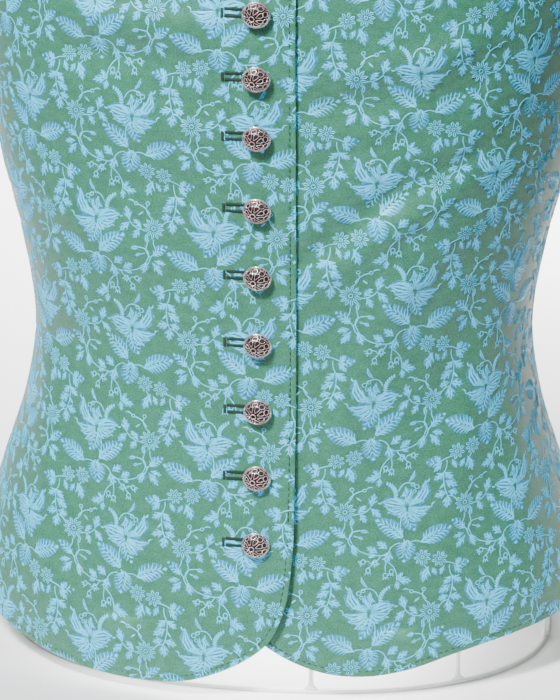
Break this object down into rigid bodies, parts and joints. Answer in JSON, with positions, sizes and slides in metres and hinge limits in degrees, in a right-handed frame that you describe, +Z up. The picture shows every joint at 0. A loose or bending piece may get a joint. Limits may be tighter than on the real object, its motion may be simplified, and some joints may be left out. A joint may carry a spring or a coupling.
{
  "type": "women's brocaded cotton waistcoat (vest) on a limbless table-top dress form",
  "caption": "Sleeveless buttoned waistcoat in green and blue floral brocade, worn by a white limbless dress form that stands on an open foot ring.",
  "frame": {"origin": "middle of the bounding box on the surface the foot ring stands on", "axes": "+Z up, -Y to the front of the wearer, +X to the wearer's left"},
  "size_m": [0.3474, 0.2606, 0.651],
  "materials": {
    "brocade": "green cotton satin ground with a light blue woven flower pattern, soft sheen",
    "button_metal": "cast openwork, antique silver with a warm copper tone",
    "form_shell": "smooth white, slight gloss"
  },
  "bodies": {
    "root": {"front_right": "brocade", "front_left": "brocade", "back_right": "brocade", "back_left": "brocade", "button_01": "button_metal", "button_02": "button_metal", "button_03": "button_metal", "button_04": "button_metal", "button_05": "button_metal", "button_06": "button_metal", "button_07": "button_metal", "button_08": "button_metal", "button_09": "button_metal", "button_10": "button_metal", "form_torso": "form_shell", "form_foot_ring": "form_shell", "form_strut_01": "form_shell", "form_strut_02": "form_shell", "form_strut_03": "form_shell", "form_strut_04": "form_shell", "form_strut_05": "form_shell", "form_strut_06": "form_shell", "form_strut_07": "form_shell", "form_strut_08": "form_shell", "form_strut_09": "form_shell", "form_strut_10": "form_shell"}
  },
  "joints": []
}
